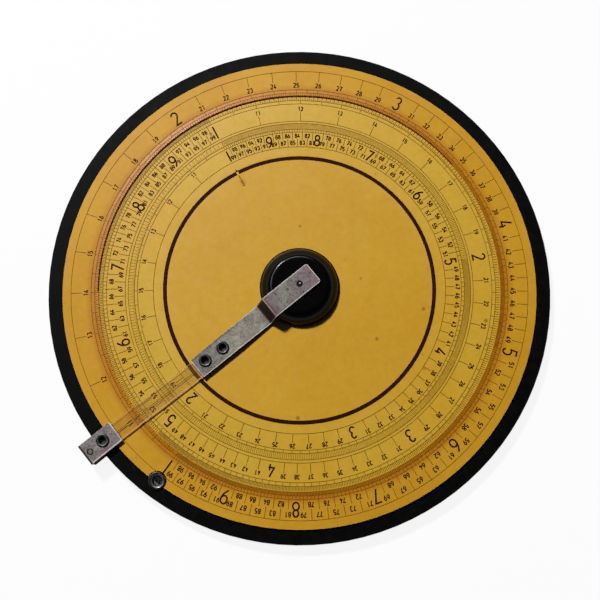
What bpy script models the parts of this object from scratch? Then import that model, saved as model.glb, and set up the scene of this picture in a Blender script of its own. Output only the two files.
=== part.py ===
"""Circular slide rule: a printed disc turns on a printed board, under a cursor arm.

Metres, +Z up. The origin is the middle of the felt's underside, on the axis that everything turns about.
Clock angles run clockwise from +Y, as they read on the face.
"""

import math

import bmesh
import bpy

# Clearances
REST_GAP = 0.0003
RUNNING_GAP = 0.0007
MERGE_SHARE = 0.001
OVERRUN = 0.002

# How finely round pieces are turned
FACE_STEPS = 96
KNOB_STEPS = 56
SMALL_STEPS = 28
BEND_STEPS = 4
CORNER_STEPS = 3

# Felt backing
FELT_THICKNESS = 0.0018
FELT_INSET = 0.013

# Base board
BASE_RADIUS = 0.125
BASE_THICKNESS = 0.005
BASE_EDGE = 0.0005
RIM_WIDTH = 0.0073

# Scale plate, a ring whose inner border flares up to a lip over the disc's edge
PLATE_THICKNESS = 0.0009
LIP_THICKNESS = 0.00025
PLATE_SCALE_WIDTH = 0.0179
FLARE_WIDTH = 0.0042
# Share of the way in from the flat part to the lip, and of the way up
FLARE_SHARES = ((0.00, 0.00), (0.24, 0.07), (0.48, 0.25), (0.71, 0.53), (1.00, 1.00))

# Rotating disc
DISC_THICKNESS = 0.0009
DISC_TUCK = 0.0003
DISC_EDGE = 0.0003

# Friction washer
FRICTION_THICKNESS = 0.0005
FRICTION_RADIUS = 0.0155
FRICTION_BORE = 0.006

# Centre pin, its riveted foot and the washer above the foot
PIN_RADIUS = 0.002
PIN_TIP_RADIUS = 0.0010
PIN_FLARE_RADIUS = 0.0013
PIN_FOOT_RADIUS = 0.0033
PIN_FOOT_HEIGHT = 0.0006
PIN_WASHER_RADIUS = 0.0062
PIN_WASHER_THICKNESS = 0.0008

# Hub bush
BUSH_WALL = 0.0015

# Knob
KNOB_SKIRT_RADIUS = 0.0198
KNOB_TOP_RADIUS = 0.0132
KNOB_HEIGHT = 0.0076
KNOB_SKIRT_HEIGHT = 0.00065
KNOB_SKIRT_EDGE = 0.0003
# Share of the way in from the skirt to the flat top, and of the way up
KNOB_DOME_SHARES = (
    (0.020, 0.030), (0.060, 0.043), (0.090, 0.065), (0.114, 0.150), (0.167, 0.288), (0.273, 0.462),
    (0.424, 0.642), (0.576, 0.786), (0.727, 0.903), (0.803, 0.950), (0.886, 0.985), (1.000, 1.000),
)

# Spring washer
SPRING_WASHER_RIM = 0.0008
SPRING_WASHER_THICKNESS = 0.0003
SPRING_WASHER_DISH = 0.0003

# Knob screws
SCREW_COUNT = 3
SCREW_CIRCLE_RADIUS = 0.011
SCREW_SHANK_RADIUS = 0.0011
SCREW_HEAD_RADIUS = 0.0020
SCREW_HEAD_HEIGHT = 0.0007
SCREW_HEAD_EDGE = 0.0002
SCREW_DEPTH_IN_KNOB = 0.0034

# Cursor arm; widths are either side of the line through the axis
CURSOR_CLOCK = 230.1
ARM_THICKNESS = 0.0010
ARM_TAIL = 0.0090
ARM_REACH = 0.0647
ARM_LEFT = 0.0058
ARM_RIGHT = 0.0055
ARM_END_LEFT = 0.0050
ARM_TAIL_CORNER = 0.0010
ARM_END_CORNER = 0.0005
JOGGLE_RUN = 0.0032
JOGGLE_CLEARANCE = 0.0012
BEND_RADIUS = 0.0015

# Eyelets that clamp the blade
EYELET_BORE = 0.0018
EYELET_WALL = 0.0004
EYELET_FLANGE_RADIUS = 0.00315
EYELET_HEAD = 0.00055
EYELET_FOOT = 0.0003
# Share of the way from the bore to the flange's edge, and of the head's height
EYELET_HEAD_SHARES = ((1.00, 0.00), (1.00, 0.45), (0.74, 1.00), (0.40, 0.95), (0.00, 0.25))
OUTER_EYELET_FROM_END = 0.0057
EYELET_SPACING = 0.0105
INNER_EYELET_LEFT = 0.0001
OUTER_EYELET_LEFT = 0.0006

# Cursor blade
BLADE_THICKNESS = 0.0004
BLADE_LAP = 0.022
BLADE_END_INSET = 0.0004
BLADE_INNER_LEFT = 0.0036
BLADE_INNER_RIGHT = 0.0055
BLADE_OUTER_LEFT = 0.0057
BLADE_OUTER_RIGHT = 0.0036

# Rim clip
CLIP_THICKNESS = 0.0007
CLIP_LAP = 0.0115
CLIP_OVERHANG = 0.0073
CLIP_LEFT = 0.0065
CLIP_RIGHT = 0.0046
CLIP_EDGE = 0.00015
CLIP_EYELET_INSET = 0.0038
CLIP_EYELET_LEFT = 0.0014
CLIP_RIVET_OFFSET = 0.0041
CLIP_RIVET_LEFT = 0.0008
CLIP_RIVET_RADIUS = 0.00125
CLIP_RIVET_CROWN = 0.0002

# Hanging eyelet
HANG_CLOCK = 215.2
HANG_INSET = 0.0082
HANG_BORE = 0.00225
HANG_WALL = 0.0005
HANG_FLANGE_RADIUS = 0.0044
HANG_FOOT = 0.0006

# Levels, from the desk up
BASE_BOTTOM = FELT_THICKNESS + REST_GAP
BASE_TOP = BASE_BOTTOM + BASE_THICKNESS
FRICTION_BOTTOM = BASE_TOP - FRICTION_THICKNESS
FRICTION_POCKET_FLOOR = FRICTION_BOTTOM - REST_GAP
PLATE_BOTTOM = BASE_TOP + REST_GAP
PLATE_TOP = PLATE_BOTTOM + PLATE_THICKNESS
DISC_BOTTOM = BASE_TOP + REST_GAP
DISC_TOP = DISC_BOTTOM + DISC_THICKNESS
LIP_BOTTOM = DISC_TOP + REST_GAP
LIP_TOP = LIP_BOTTOM + LIP_THICKNESS
KNOB_BOTTOM = DISC_TOP + REST_GAP
KNOB_TOP = KNOB_BOTTOM + KNOB_HEIGHT
ARM_UPPER_BOTTOM = KNOB_TOP + REST_GAP
ARM_UPPER_TOP = ARM_UPPER_BOTTOM + ARM_THICKNESS
EYELET_FOOT_BOTTOM = DISC_TOP + REST_GAP
BLADE_BOTTOM = max(EYELET_FOOT_BOTTOM + EYELET_FOOT, LIP_TOP) + REST_GAP
BLADE_TOP = BLADE_BOTTOM + BLADE_THICKNESS
ARM_LOWER_BOTTOM = BLADE_TOP + REST_GAP
ARM_LOWER_TOP = ARM_LOWER_BOTTOM + ARM_THICKNESS
ARM_HEEL_BOTTOM = DISC_TOP + RUNNING_GAP
HANG_SEAT = BASE_TOP + REST_GAP
HANG_FOOT_BOTTOM = BASE_BOTTOM + REST_GAP
HANG_HEAD = PLATE_TOP - HANG_SEAT
CLIP_BOTTOM = ARM_LOWER_BOTTOM
CLIP_TOP = CLIP_BOTTOM + CLIP_THICKNESS
JAW_TOP = BASE_BOTTOM - REST_GAP
JAW_BOTTOM = JAW_TOP - CLIP_THICKNESS
PIN_POCKET_TOP = BASE_BOTTOM + PIN_FOOT_HEIGHT + PIN_WASHER_THICKNESS + 2 * REST_GAP
WASHER_POCKET_FLOOR = KNOB_TOP - SPRING_WASHER_THICKNESS - SPRING_WASHER_DISH - REST_GAP

# Radii and places that follow
PLATE_RADIUS = BASE_RADIUS - RIM_WIDTH
LIP_RADIUS = PLATE_RADIUS - PLATE_SCALE_WIDTH
DISC_RADIUS = LIP_RADIUS + DISC_TUCK
FRICTION_POCKET_RADIUS = FRICTION_RADIUS + REST_GAP
BUSH_BORE = PIN_RADIUS + REST_GAP
BUSH_RADIUS = BUSH_BORE + BUSH_WALL
SPRING_WASHER_RADIUS = BUSH_RADIUS + SPRING_WASHER_RIM
PIN_POCKET_RADIUS = PIN_WASHER_RADIUS + RUNNING_GAP
JOGGLE_FOOT = KNOB_SKIRT_RADIUS + JOGGLE_CLEARANCE + ARM_THICKNESS
EYELET_BARREL = EYELET_BORE + EYELET_WALL
EYELET_HOLE = EYELET_BARREL + REST_GAP
ARM_LEVEL_REACH = ARM_REACH - BLADE_LAP - RUNNING_GAP
OUTER_EYELET_REACH = ARM_REACH - OUTER_EYELET_FROM_END
INNER_EYELET_REACH = OUTER_EYELET_REACH - EYELET_SPACING
CLIP_INNER_REACH = BASE_RADIUS - CLIP_LAP
CLIP_OUTER_REACH = BASE_RADIUS + CLIP_OVERHANG
CLIP_EYELET_REACH = BASE_RADIUS - CLIP_EYELET_INSET
CLIP_RIVET_REACH = BASE_RADIUS + CLIP_RIVET_OFFSET
SPACER_REACH = BASE_RADIUS + RUNNING_GAP
BLADE_REACH = SPACER_REACH - BLADE_END_INSET
HANG_REACH = BASE_RADIUS - HANG_INSET
HANG_BARREL = HANG_BORE + HANG_WALL


def clear_scene():
    for obj in list(bpy.data.objects):
        bpy.data.objects.remove(obj)


def material(name, colour, roughness, metallic=0.0, alpha=1.0):
    if name in bpy.data.materials:
        return bpy.data.materials[name]
    made = bpy.data.materials.new(name)
    made.use_nodes = True
    shader = made.node_tree.nodes["Principled BSDF"]
    shader.inputs["Base Color"].default_value = (*colour, 1.0)
    shader.inputs["Roughness"].default_value = roughness
    shader.inputs["Metallic"].default_value = metallic
    shader.inputs["Alpha"].default_value = alpha
    return made


def from_clock(degrees):
    return math.radians(90 - degrees)


def pivot(name, clock):
    """An empty on the turning axis, with its +X towards the given clock angle."""
    empty = bpy.data.objects.new(name, None)
    empty.rotation_euler.z = from_clock(clock)
    bpy.context.scene.collection.objects.link(empty)
    return empty


def as_object(name, mesh_maker, finish=None, parent=None):
    bmesh.ops.recalc_face_normals(mesh_maker, faces=mesh_maker.faces)
    mesh = bpy.data.meshes.new(name)
    mesh_maker.to_mesh(mesh)
    mesh_maker.free()
    mesh.shade_smooth()
    mesh.set_sharp_from_angle(angle=math.radians(35))
    obj = bpy.data.objects.new(name, mesh)
    obj.parent = parent
    bpy.context.scene.collection.objects.link(obj)
    if finish:
        mesh.materials.append(finish)
    return obj


def turned(name, profile, steps, finish=None, parent=None, at=(0, 0)):
    """A profile of (radius, height) points spun about +Z; it is a ring unless it starts and ends on the axis."""
    maker = bmesh.new()
    corners = [maker.verts.new((radius, 0, height)) for radius, height in profile]
    edges = [maker.edges.new(pair) for pair in zip(corners, corners[1:])]
    if profile[0][0] > 0:
        edges.append(maker.edges.new((corners[-1], corners[0])))
    bmesh.ops.spin(
        maker, geom=corners + edges, axis=(0, 0, 1), angle=2 * math.pi, steps=steps, use_merge=True
    )
    bmesh.ops.remove_doubles(maker, verts=maker.verts, dist=REST_GAP * MERGE_SHARE)
    obj = as_object(name, maker, finish, parent)
    obj.location = (*at, 0)
    return obj


def ring(inner, outer, bottom, top):
    return [(inner, bottom), (outer, bottom), (outer, top), (inner, top)]


def strip(name, sections, finish=None, parent=None):
    """Four-cornered sections joined one to the next, with both ends closed."""
    maker = bmesh.new()
    rows = [[maker.verts.new(corner) for corner in section] for section in sections]
    for here, there in zip(rows, rows[1:]):
        for k in range(len(here)):
            after = (k + 1) % len(here)
            maker.faces.new((here[k], here[after], there[after], there[k]))
    maker.faces.new(rows[0])
    maker.faces.new(rows[-1])
    return as_object(name, maker, finish, parent)


def block(name, near, far, left, right, bottom, top, finish, parent):
    corners = ((-left, bottom), (right, bottom), (right, top), (-left, top))
    sections = [[(x, y, z) for y, z in corners] for x in (near, far)]
    return strip(name, sections, finish, parent)


def bevelled(obj, width):
    edge = obj.modifiers.new("edge", "BEVEL")
    edge.width = width
    edge.segments = 1
    return obj


def cut(obj, cutter):
    cutter.hide_render = True
    cutter.display_type = "WIRE"
    hole = obj.modifiers.new(cutter.name, "BOOLEAN")
    hole.operation = "DIFFERENCE"
    hole.solver = "EXACT"
    hole.object = cutter


def drill(obj, name, radius, bottom, top, at, parent=None):
    profile = [(0, bottom - OVERRUN), (radius, bottom - OVERRUN), (radius, top + OVERRUN), (0, top + OVERRUN)]
    cut(obj, turned(name, profile, SMALL_STEPS, None, parent, at))


def eyelet(name, bore, wall, flange_radius, head, seat, foot_bottom, foot, finish, parent=None, at=(0, 0)):
    """A rolled eyelet: its domed head lies on the seat, its foot is spread below."""
    width = flange_radius - bore
    profile = [
        (bore, foot_bottom),
        (flange_radius, foot_bottom),
        (flange_radius, foot_bottom + foot),
        (bore + wall, foot_bottom + foot),
        (bore + wall, seat),
    ]
    profile += [(bore + out * width, seat + up * head) for out, up in EYELET_HEAD_SHARES]
    return turned(name, profile, SMALL_STEPS, finish, parent, at)


def felt_backing():
    felt = material("black felt", (0.020, 0.020, 0.021), 0.95)
    radius = BASE_RADIUS - FELT_INSET
    profile = [(0, 0), (radius, 0), (radius, FELT_THICKNESS), (0, FELT_THICKNESS)]
    turned("felt_backing", profile, FACE_STEPS, felt)


def base_board():
    board = material("black board", (0.012, 0.012, 0.013), 0.55)
    profile = [
        (PIN_RADIUS + REST_GAP, PIN_POCKET_TOP),
        (PIN_POCKET_RADIUS, PIN_POCKET_TOP),
        (PIN_POCKET_RADIUS, BASE_BOTTOM),
        (BASE_RADIUS - BASE_EDGE, BASE_BOTTOM),
        (BASE_RADIUS, BASE_BOTTOM + BASE_EDGE),
        (BASE_RADIUS, BASE_TOP - BASE_EDGE),
        (BASE_RADIUS - BASE_EDGE, BASE_TOP),
        (FRICTION_POCKET_RADIUS, BASE_TOP),
        (FRICTION_POCKET_RADIUS, FRICTION_POCKET_FLOOR),
        (PIN_RADIUS + REST_GAP, FRICTION_POCKET_FLOOR),
    ]
    obj = turned("base_board", profile, FACE_STEPS, board)
    drill(obj, "hanging_hole", HANG_BARREL + REST_GAP, BASE_BOTTOM, BASE_TOP, hanging_place())
    pocket_top = HANG_FOOT_BOTTOM + HANG_FOOT + REST_GAP
    pocket_radius = HANG_FLANGE_RADIUS + REST_GAP
    pocket = [(0, BASE_BOTTOM - OVERRUN), (pocket_radius, BASE_BOTTOM - OVERRUN), (pocket_radius, pocket_top)]
    pocket.append((0, pocket_top))
    cut(obj, turned("hanging_pocket", pocket, SMALL_STEPS, at=hanging_place()))


def hanging_place():
    angle = from_clock(HANG_CLOCK)
    return HANG_REACH * math.cos(angle), HANG_REACH * math.sin(angle)


def flare_points(low, high):
    """Points from the flat part of the plate inwards and up to its lip."""
    return [(LIP_RADIUS + (1 - share) * FLARE_WIDTH, low + up * (high - low)) for share, up in FLARE_SHARES]


def scale_plate():
    celluloid = material("amber celluloid", (0.60, 0.33, 0.055), 0.35)
    profile = [(PLATE_RADIUS, PLATE_BOTTOM), (PLATE_RADIUS, PLATE_TOP)]
    profile += flare_points(PLATE_TOP, LIP_TOP)
    profile += reversed(flare_points(PLATE_BOTTOM, LIP_BOTTOM))
    obj = turned("scale_plate", profile, FACE_STEPS, celluloid)
    drill(obj, "plate_notch", HANG_FLANGE_RADIUS + REST_GAP, PLATE_BOTTOM, PLATE_TOP, hanging_place())


def friction_washer():
    felt = material("grey felt", (0.18, 0.17, 0.16), 0.95)
    turned("friction_washer", ring(FRICTION_BORE, FRICTION_RADIUS, FRICTION_BOTTOM, BASE_TOP), KNOB_STEPS, felt)


def hanging_eyelet():
    enamel = material("black eyelet enamel", (0.025, 0.027, 0.028), 0.35, 0.6)
    eyelet(
        "hanging_eyelet", HANG_BORE, HANG_WALL, HANG_FLANGE_RADIUS, HANG_HEAD,
        HANG_SEAT, HANG_FOOT_BOTTOM, HANG_FOOT, enamel, at=hanging_place(),
    )


def pin_steel():
    return material("pin steel", (0.42, 0.41, 0.40), 0.35, 1.0)


def centre_pin():
    foot_top = BASE_BOTTOM + PIN_FOOT_HEIGHT
    profile = [
        (0, BASE_BOTTOM),
        (PIN_FOOT_RADIUS, BASE_BOTTOM),
        (PIN_FOOT_RADIUS, foot_top),
        (PIN_RADIUS, foot_top),
        (PIN_RADIUS, KNOB_TOP),
        (PIN_TIP_RADIUS, KNOB_TOP),
        (PIN_TIP_RADIUS, ARM_UPPER_BOTTOM),
        (PIN_FLARE_RADIUS, ARM_UPPER_TOP),
        (0, ARM_UPPER_TOP),
    ]
    turned("centre_pin", profile, SMALL_STEPS, pin_steel())


def pin_washer():
    bottom = BASE_BOTTOM + PIN_FOOT_HEIGHT + REST_GAP
    profile = ring(PIN_RADIUS + REST_GAP, PIN_WASHER_RADIUS, bottom, bottom + PIN_WASHER_THICKNESS)
    turned("pin_washer", profile, SMALL_STEPS, pin_steel())


def screw_profile(gap):
    """A countersunk screw, head down; a gap makes it the cutter for its own hole."""
    bottom = DISC_BOTTOM - gap
    top = KNOB_BOTTOM + SCREW_DEPTH_IN_KNOB + gap
    return [
        (0, bottom),
        (SCREW_HEAD_RADIUS + gap, bottom),
        (SCREW_HEAD_RADIUS + gap, DISC_BOTTOM + SCREW_HEAD_EDGE),
        (SCREW_SHANK_RADIUS + gap, DISC_BOTTOM + SCREW_HEAD_HEIGHT),
        (SCREW_SHANK_RADIUS + gap, top),
        (0, top),
    ]


def screw_places():
    for index in range(SCREW_COUNT):
        angle = 2 * math.pi * index / SCREW_COUNT
        yield index + 1, (SCREW_CIRCLE_RADIUS * math.cos(angle), SCREW_CIRCLE_RADIUS * math.sin(angle))


def rotating_disc(axis):
    celluloid = material("pale amber celluloid", (0.61, 0.37, 0.075), 0.35)
    hole = BUSH_RADIUS + REST_GAP
    profile = [
        (hole, DISC_BOTTOM),
        (DISC_RADIUS, DISC_BOTTOM),
        (DISC_RADIUS, DISC_TOP - DISC_EDGE),
        (DISC_RADIUS - DISC_EDGE, DISC_TOP),
        (hole, DISC_TOP),
    ]
    obj = turned("rotating_disc", profile, FACE_STEPS, celluloid, axis)
    for number, place in screw_places():
        cut(obj, turned(f"disc_screw_hole_{number}", screw_profile(REST_GAP), SMALL_STEPS, None, axis, place))


def knob(axis):
    moulding = material("black moulding", (0.010, 0.010, 0.011), 0.16)
    inward = KNOB_SKIRT_RADIUS - KNOB_TOP_RADIUS
    skirt_top = KNOB_BOTTOM + KNOB_SKIRT_HEIGHT
    upward = KNOB_TOP - skirt_top
    pocket = SPRING_WASHER_RADIUS + REST_GAP
    bore = BUSH_RADIUS + REST_GAP
    profile = [
        (bore, KNOB_BOTTOM),
        (KNOB_SKIRT_RADIUS - KNOB_SKIRT_EDGE, KNOB_BOTTOM),
        (KNOB_SKIRT_RADIUS, KNOB_BOTTOM + KNOB_SKIRT_EDGE),
        (KNOB_SKIRT_RADIUS, skirt_top),
    ]
    profile += [(KNOB_SKIRT_RADIUS - share * inward, skirt_top + up * upward) for share, up in KNOB_DOME_SHARES]
    profile += [(pocket, KNOB_TOP), (pocket, WASHER_POCKET_FLOOR), (bore, WASHER_POCKET_FLOOR)]
    obj = turned("knob", profile, KNOB_STEPS, moulding, axis)
    for number, place in screw_places():
        cut(obj, turned(f"knob_screw_hole_{number}", screw_profile(REST_GAP), SMALL_STEPS, None, axis, place))


def hub_bush(axis):
    brass = material("brass", (0.55, 0.38, 0.14), 0.3, 1.0)
    turned("hub_bush", ring(BUSH_BORE, BUSH_RADIUS, DISC_BOTTOM, WASHER_POCKET_FLOOR), SMALL_STEPS, brass, axis)


def knob_screws(axis):
    steel = material("screw steel", (0.45, 0.44, 0.43), 0.35, 1.0)
    for number, place in screw_places():
        turned(f"knob_screw_{number}", screw_profile(0), SMALL_STEPS, steel, axis, place)


def spring_washer(axis):
    steel = material("spring steel", (0.35, 0.35, 0.36), 0.3, 1.0)
    inner, outer = PIN_RADIUS + REST_GAP, SPRING_WASHER_RADIUS
    low = WASHER_POCKET_FLOOR + REST_GAP
    high = low + SPRING_WASHER_DISH
    profile = [
        (inner, high),
        (outer, low),
        (outer, low + SPRING_WASHER_THICKNESS),
        (inner, high + SPRING_WASHER_THICKNESS),
    ]
    turned("spring_washer", profile, SMALL_STEPS, steel, axis)


def joggle_points():
    """(x, z, slope) along the middle of the strip's two bends; the slope is measured down from level."""
    upper = ARM_UPPER_BOTTOM + ARM_THICKNESS / 2
    lower = ARM_HEEL_BOTTOM + ARM_THICKNESS / 2
    head = JOGGLE_FOOT - JOGGLE_RUN
    turn = math.atan2(upper - lower, JOGGLE_RUN)
    setback = BEND_RADIUS * math.tan(turn / 2)
    for step in range(BEND_STEPS + 1):
        slope = turn * step / BEND_STEPS
        x = head - setback + BEND_RADIUS * math.sin(slope)
        yield x, upper - BEND_RADIUS * (1 - math.cos(slope)), slope
    for step in range(BEND_STEPS, -1, -1):
        slope = turn * step / BEND_STEPS
        x = JOGGLE_FOOT + setback - BEND_RADIUS * math.sin(slope)
        yield x, lower + BEND_RADIUS * (1 - math.cos(slope)), slope


def arm_section(x, z, slope, left, right):
    half = ARM_THICKNESS / 2
    over, up = half * math.sin(slope), half * math.cos(slope)
    bottom, top = (x - over, z - up), (x + over, z + up)
    corners = ((bottom, -left), (bottom, right), (top, right), (top, -left))
    return [(place[0], y, place[1]) for place, y in corners]


def corner_points(radius):
    """(distance from the end, width lost each side) round a rounded corner, from the end inwards."""
    for step in range(CORNER_STEPS + 1):
        angle = math.pi / 2 * step / CORNER_STEPS
        yield radius * (1 - math.cos(angle)), radius * (1 - math.sin(angle))


def arm_left_at(x):
    share = max(0.0, (x - JOGGLE_FOOT) / (ARM_REACH - JOGGLE_FOOT))
    return ARM_LEFT + share * (ARM_END_LEFT - ARM_LEFT)


def arm_sections():
    upper = ARM_UPPER_BOTTOM + ARM_THICKNESS / 2
    lower = ARM_LOWER_BOTTOM + ARM_THICKNESS / 2
    for inward, lost in corner_points(ARM_TAIL_CORNER):
        yield arm_section(inward - ARM_TAIL, upper, 0, ARM_LEFT - lost, ARM_RIGHT - lost)
    for x, z, slope in joggle_points():
        yield arm_section(x, z, slope, arm_left_at(x), ARM_RIGHT)
    yield arm_section(ARM_LEVEL_REACH, lower, 0, arm_left_at(ARM_LEVEL_REACH), ARM_RIGHT)
    for inward, lost in reversed(list(corner_points(ARM_END_CORNER))):
        x = ARM_REACH - inward
        yield arm_section(x, lower, 0, arm_left_at(x) - lost, ARM_RIGHT - lost)


def pin_hole_cutter(axis):
    """The flared tip's own shape with a gap round it, carried on past both faces of the arm."""
    flare = (PIN_FLARE_RADIUS - PIN_TIP_RADIUS) / ARM_THICKNESS * OVERRUN
    narrow, wide = PIN_TIP_RADIUS + REST_GAP, PIN_FLARE_RADIUS + REST_GAP
    profile = [
        (0, ARM_UPPER_BOTTOM - OVERRUN),
        (narrow, ARM_UPPER_BOTTOM - OVERRUN),
        (narrow, ARM_UPPER_BOTTOM),
        (wide, ARM_UPPER_TOP),
        (wide + flare, ARM_UPPER_TOP + OVERRUN),
        (0, ARM_UPPER_TOP + OVERRUN),
    ]
    return turned("arm_pin_hole", profile, SMALL_STEPS, None, axis)


def eyelet_places():
    return (
        ("arm_eyelet_inner", (INNER_EYELET_REACH, -INNER_EYELET_LEFT)),
        ("arm_eyelet_outer", (OUTER_EYELET_REACH, -OUTER_EYELET_LEFT)),
        ("clip_eyelet", (CLIP_EYELET_REACH, -CLIP_EYELET_LEFT)),
    )


def cursor_arm(axis):
    steel = material("worn arm steel", (0.40, 0.38, 0.36), 0.38, 1.0)
    obj = strip("cursor_arm", list(arm_sections()), steel, axis)
    cut(obj, pin_hole_cutter(axis))
    for name, place in eyelet_places()[:2]:
        drill(obj, f"arm_hole_{name}", EYELET_HOLE, ARM_LOWER_BOTTOM, ARM_LOWER_TOP, place, axis)


def cursor_blade(axis):
    clear = material("clear blade celluloid", (0.70, 0.52, 0.34), 0.15, 0.0, 0.3)
    near = ARM_REACH - BLADE_LAP
    ends = ((near, BLADE_INNER_LEFT, BLADE_INNER_RIGHT), (BLADE_REACH, BLADE_OUTER_LEFT, BLADE_OUTER_RIGHT))
    sections = []
    for x, left, right in ends:
        sides = ((-left, BLADE_BOTTOM), (right, BLADE_BOTTOM), (right, BLADE_TOP), (-left, BLADE_TOP))
        sections.append([(x, y, z) for y, z in sides])
    obj = strip("cursor_blade", sections, clear, axis)
    for name, place in eyelet_places():
        drill(obj, f"blade_hole_{name}", EYELET_HOLE, BLADE_BOTTOM, BLADE_TOP, place, axis)


def blade_eyelets(axis):
    for name, place in eyelet_places():
        enamel = material(f"{name} enamel", (0.045, 0.045, 0.045), 0.3, 0.8)
        seat = (CLIP_TOP if name == "clip_eyelet" else ARM_LOWER_TOP) + REST_GAP
        eyelet(
            name, EYELET_BORE, EYELET_WALL, EYELET_FLANGE_RADIUS, EYELET_HEAD,
            seat, EYELET_FOOT_BOTTOM, EYELET_FOOT, enamel, axis, place,
        )


def clip_steel():
    return material("clip steel", (0.38, 0.37, 0.37), 0.4, 1.0)


def rivet_place():
    return CLIP_RIVET_REACH, -CLIP_RIVET_LEFT


def clip_plate(name, bottom, axis):
    top = bottom + CLIP_THICKNESS
    obj = block(
        name, CLIP_INNER_REACH, CLIP_OUTER_REACH, CLIP_LEFT, CLIP_RIGHT, bottom, top, clip_steel(), axis
    )
    bevelled(obj, CLIP_EDGE)
    drill(obj, f"{name}_rivet_hole", CLIP_RIVET_RADIUS + REST_GAP, bottom, top, rivet_place(), axis)
    return obj


def clip_plates(axis):
    upper = clip_plate("clip_top_plate", CLIP_BOTTOM, axis)
    place = eyelet_places()[2][1]
    drill(upper, "clip_eyelet_hole", EYELET_HOLE, CLIP_BOTTOM, CLIP_TOP, place, axis)
    clip_plate("clip_lower_plate", JAW_BOTTOM, axis)


def clip_spacer(axis):
    bottom, top = JAW_TOP + REST_GAP, CLIP_BOTTOM - REST_GAP
    left, right = CLIP_LEFT - CLIP_EDGE, CLIP_RIGHT - CLIP_EDGE
    far = CLIP_OUTER_REACH - CLIP_EDGE
    obj = block("clip_spacer", SPACER_REACH, far, left, right, bottom, top, clip_steel(), axis)
    drill(obj, "spacer_rivet_hole", CLIP_RIVET_RADIUS + REST_GAP, bottom, top, rivet_place(), axis)


def clip_rivet(axis):
    crown = CLIP_RIVET_CROWN
    profile = [
        (0, JAW_BOTTOM),
        (CLIP_RIVET_RADIUS - crown, JAW_BOTTOM),
        (CLIP_RIVET_RADIUS, JAW_BOTTOM + crown),
        (CLIP_RIVET_RADIUS, CLIP_TOP - crown),
        (CLIP_RIVET_RADIUS - crown, CLIP_TOP),
        (0, CLIP_TOP),
    ]
    steel = material("rivet steel", (0.36, 0.33, 0.30), 0.45, 1.0)
    turned("clip_rivet", profile, SMALL_STEPS, steel, axis, rivet_place())


def main():
    clear_scene()
    felt_backing()
    base_board()
    scale_plate()
    friction_washer()
    hanging_eyelet()
    centre_pin()
    pin_washer()
    disc_axis = pivot("disc_axis", 0)
    rotating_disc(disc_axis)
    knob(disc_axis)
    hub_bush(disc_axis)
    knob_screws(disc_axis)
    cursor_axis = pivot("cursor_axis", CURSOR_CLOCK)
    spring_washer(cursor_axis)
    cursor_arm(cursor_axis)
    cursor_blade(cursor_axis)
    blade_eyelets(cursor_axis)
    clip_plates(cursor_axis)
    clip_spacer(cursor_axis)
    clip_rivet(cursor_axis)


main()
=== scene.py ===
"""The circular slide rule dressed for its picture: printed celluloid, worn steel, black moulding.

Lengths in the constants and tables are in millimetres, and meshes are in metres. A clock angle is in
degrees, clockwise from +Y. The printed scales carry plain numbers only.
"""

import math

import bpy
from mathutils import Matrix, Vector

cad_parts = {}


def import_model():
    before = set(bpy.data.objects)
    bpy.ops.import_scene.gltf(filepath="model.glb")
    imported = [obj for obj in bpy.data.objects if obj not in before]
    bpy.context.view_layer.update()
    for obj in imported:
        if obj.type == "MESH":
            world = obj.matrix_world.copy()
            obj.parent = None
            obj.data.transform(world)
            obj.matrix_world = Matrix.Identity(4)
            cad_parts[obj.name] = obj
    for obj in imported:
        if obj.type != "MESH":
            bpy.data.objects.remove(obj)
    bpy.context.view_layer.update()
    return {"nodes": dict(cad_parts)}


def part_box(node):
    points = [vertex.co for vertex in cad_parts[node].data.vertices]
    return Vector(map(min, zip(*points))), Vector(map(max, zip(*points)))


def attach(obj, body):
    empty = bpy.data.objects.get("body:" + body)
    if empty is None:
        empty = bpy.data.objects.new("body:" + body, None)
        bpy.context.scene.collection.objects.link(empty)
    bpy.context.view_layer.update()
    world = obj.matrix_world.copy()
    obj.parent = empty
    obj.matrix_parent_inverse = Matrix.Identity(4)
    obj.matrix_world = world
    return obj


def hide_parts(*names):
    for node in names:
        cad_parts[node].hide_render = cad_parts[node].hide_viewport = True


MM = 0.001

# Camera
CAMERA_PLACE = Vector((0.293, -92.302, 494.433)) * MM
CAMERA_AIM = Vector((0.293, -6.223, 7.1)) * MM
CAMERA_ROLL = 0.726
CAMERA_LENS = 59.736
CAMERA_SENSOR = 36.0

# Light: one lamp that casts the shadows, and weak ones beside it that only reflections see. Distances and
# sizes of the lamps are in metres.
KEY_CLOCK = 327.0
KEY_ELEVATION = 49.3
KEY_DISTANCE = 2.0
KEY_SIZE = 0.22
KEY_POWER = 47.5
GLINT_CLOCKS = (286.0, 304.0, 344.0, 361.0)
GLINT_SIZE = 0.6
GLINT_POWER = 7.5

# Sky, by the height of a direction as a share of its length: pale below the first of its heights and dim
# above the second. Metal and the clear blade see white instead from the first height of the horizon down,
# in full below the second.
SKY_STRENGTH = 0.06
SKY_HEIGHTS = (0.25, 0.70)
SKY_DIM = 0.20
HORIZON = (0.20, 0.08)

# Floor, which reaches FLOOR_REACH metres each way. Its white glow begins at the first radius of a pair and
# is full at the second, with one pair for the camera and one for what metal and the clear blade mirror.
FLOOR_REACH = 6.0
FLOOR_TONE = 0.86
FLOOR_GLOW = 0.9
SEEN_GLOW = (118.0, 126.0)
MIRRORED_GLOW = (130.0, 170.0)

# The cursor's clock angle, and where the scales begin
CURSOR_CLOCK = 230.1
PLATE_ONE = 215.1
DISC_ONE = 331.2

# How far print lies above what carries it, and how its crossing strokes are kept apart
PRINT_LIFT = 0.04
PRINT_LAYERS = 7
LAYER_STEP = 0.002

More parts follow.
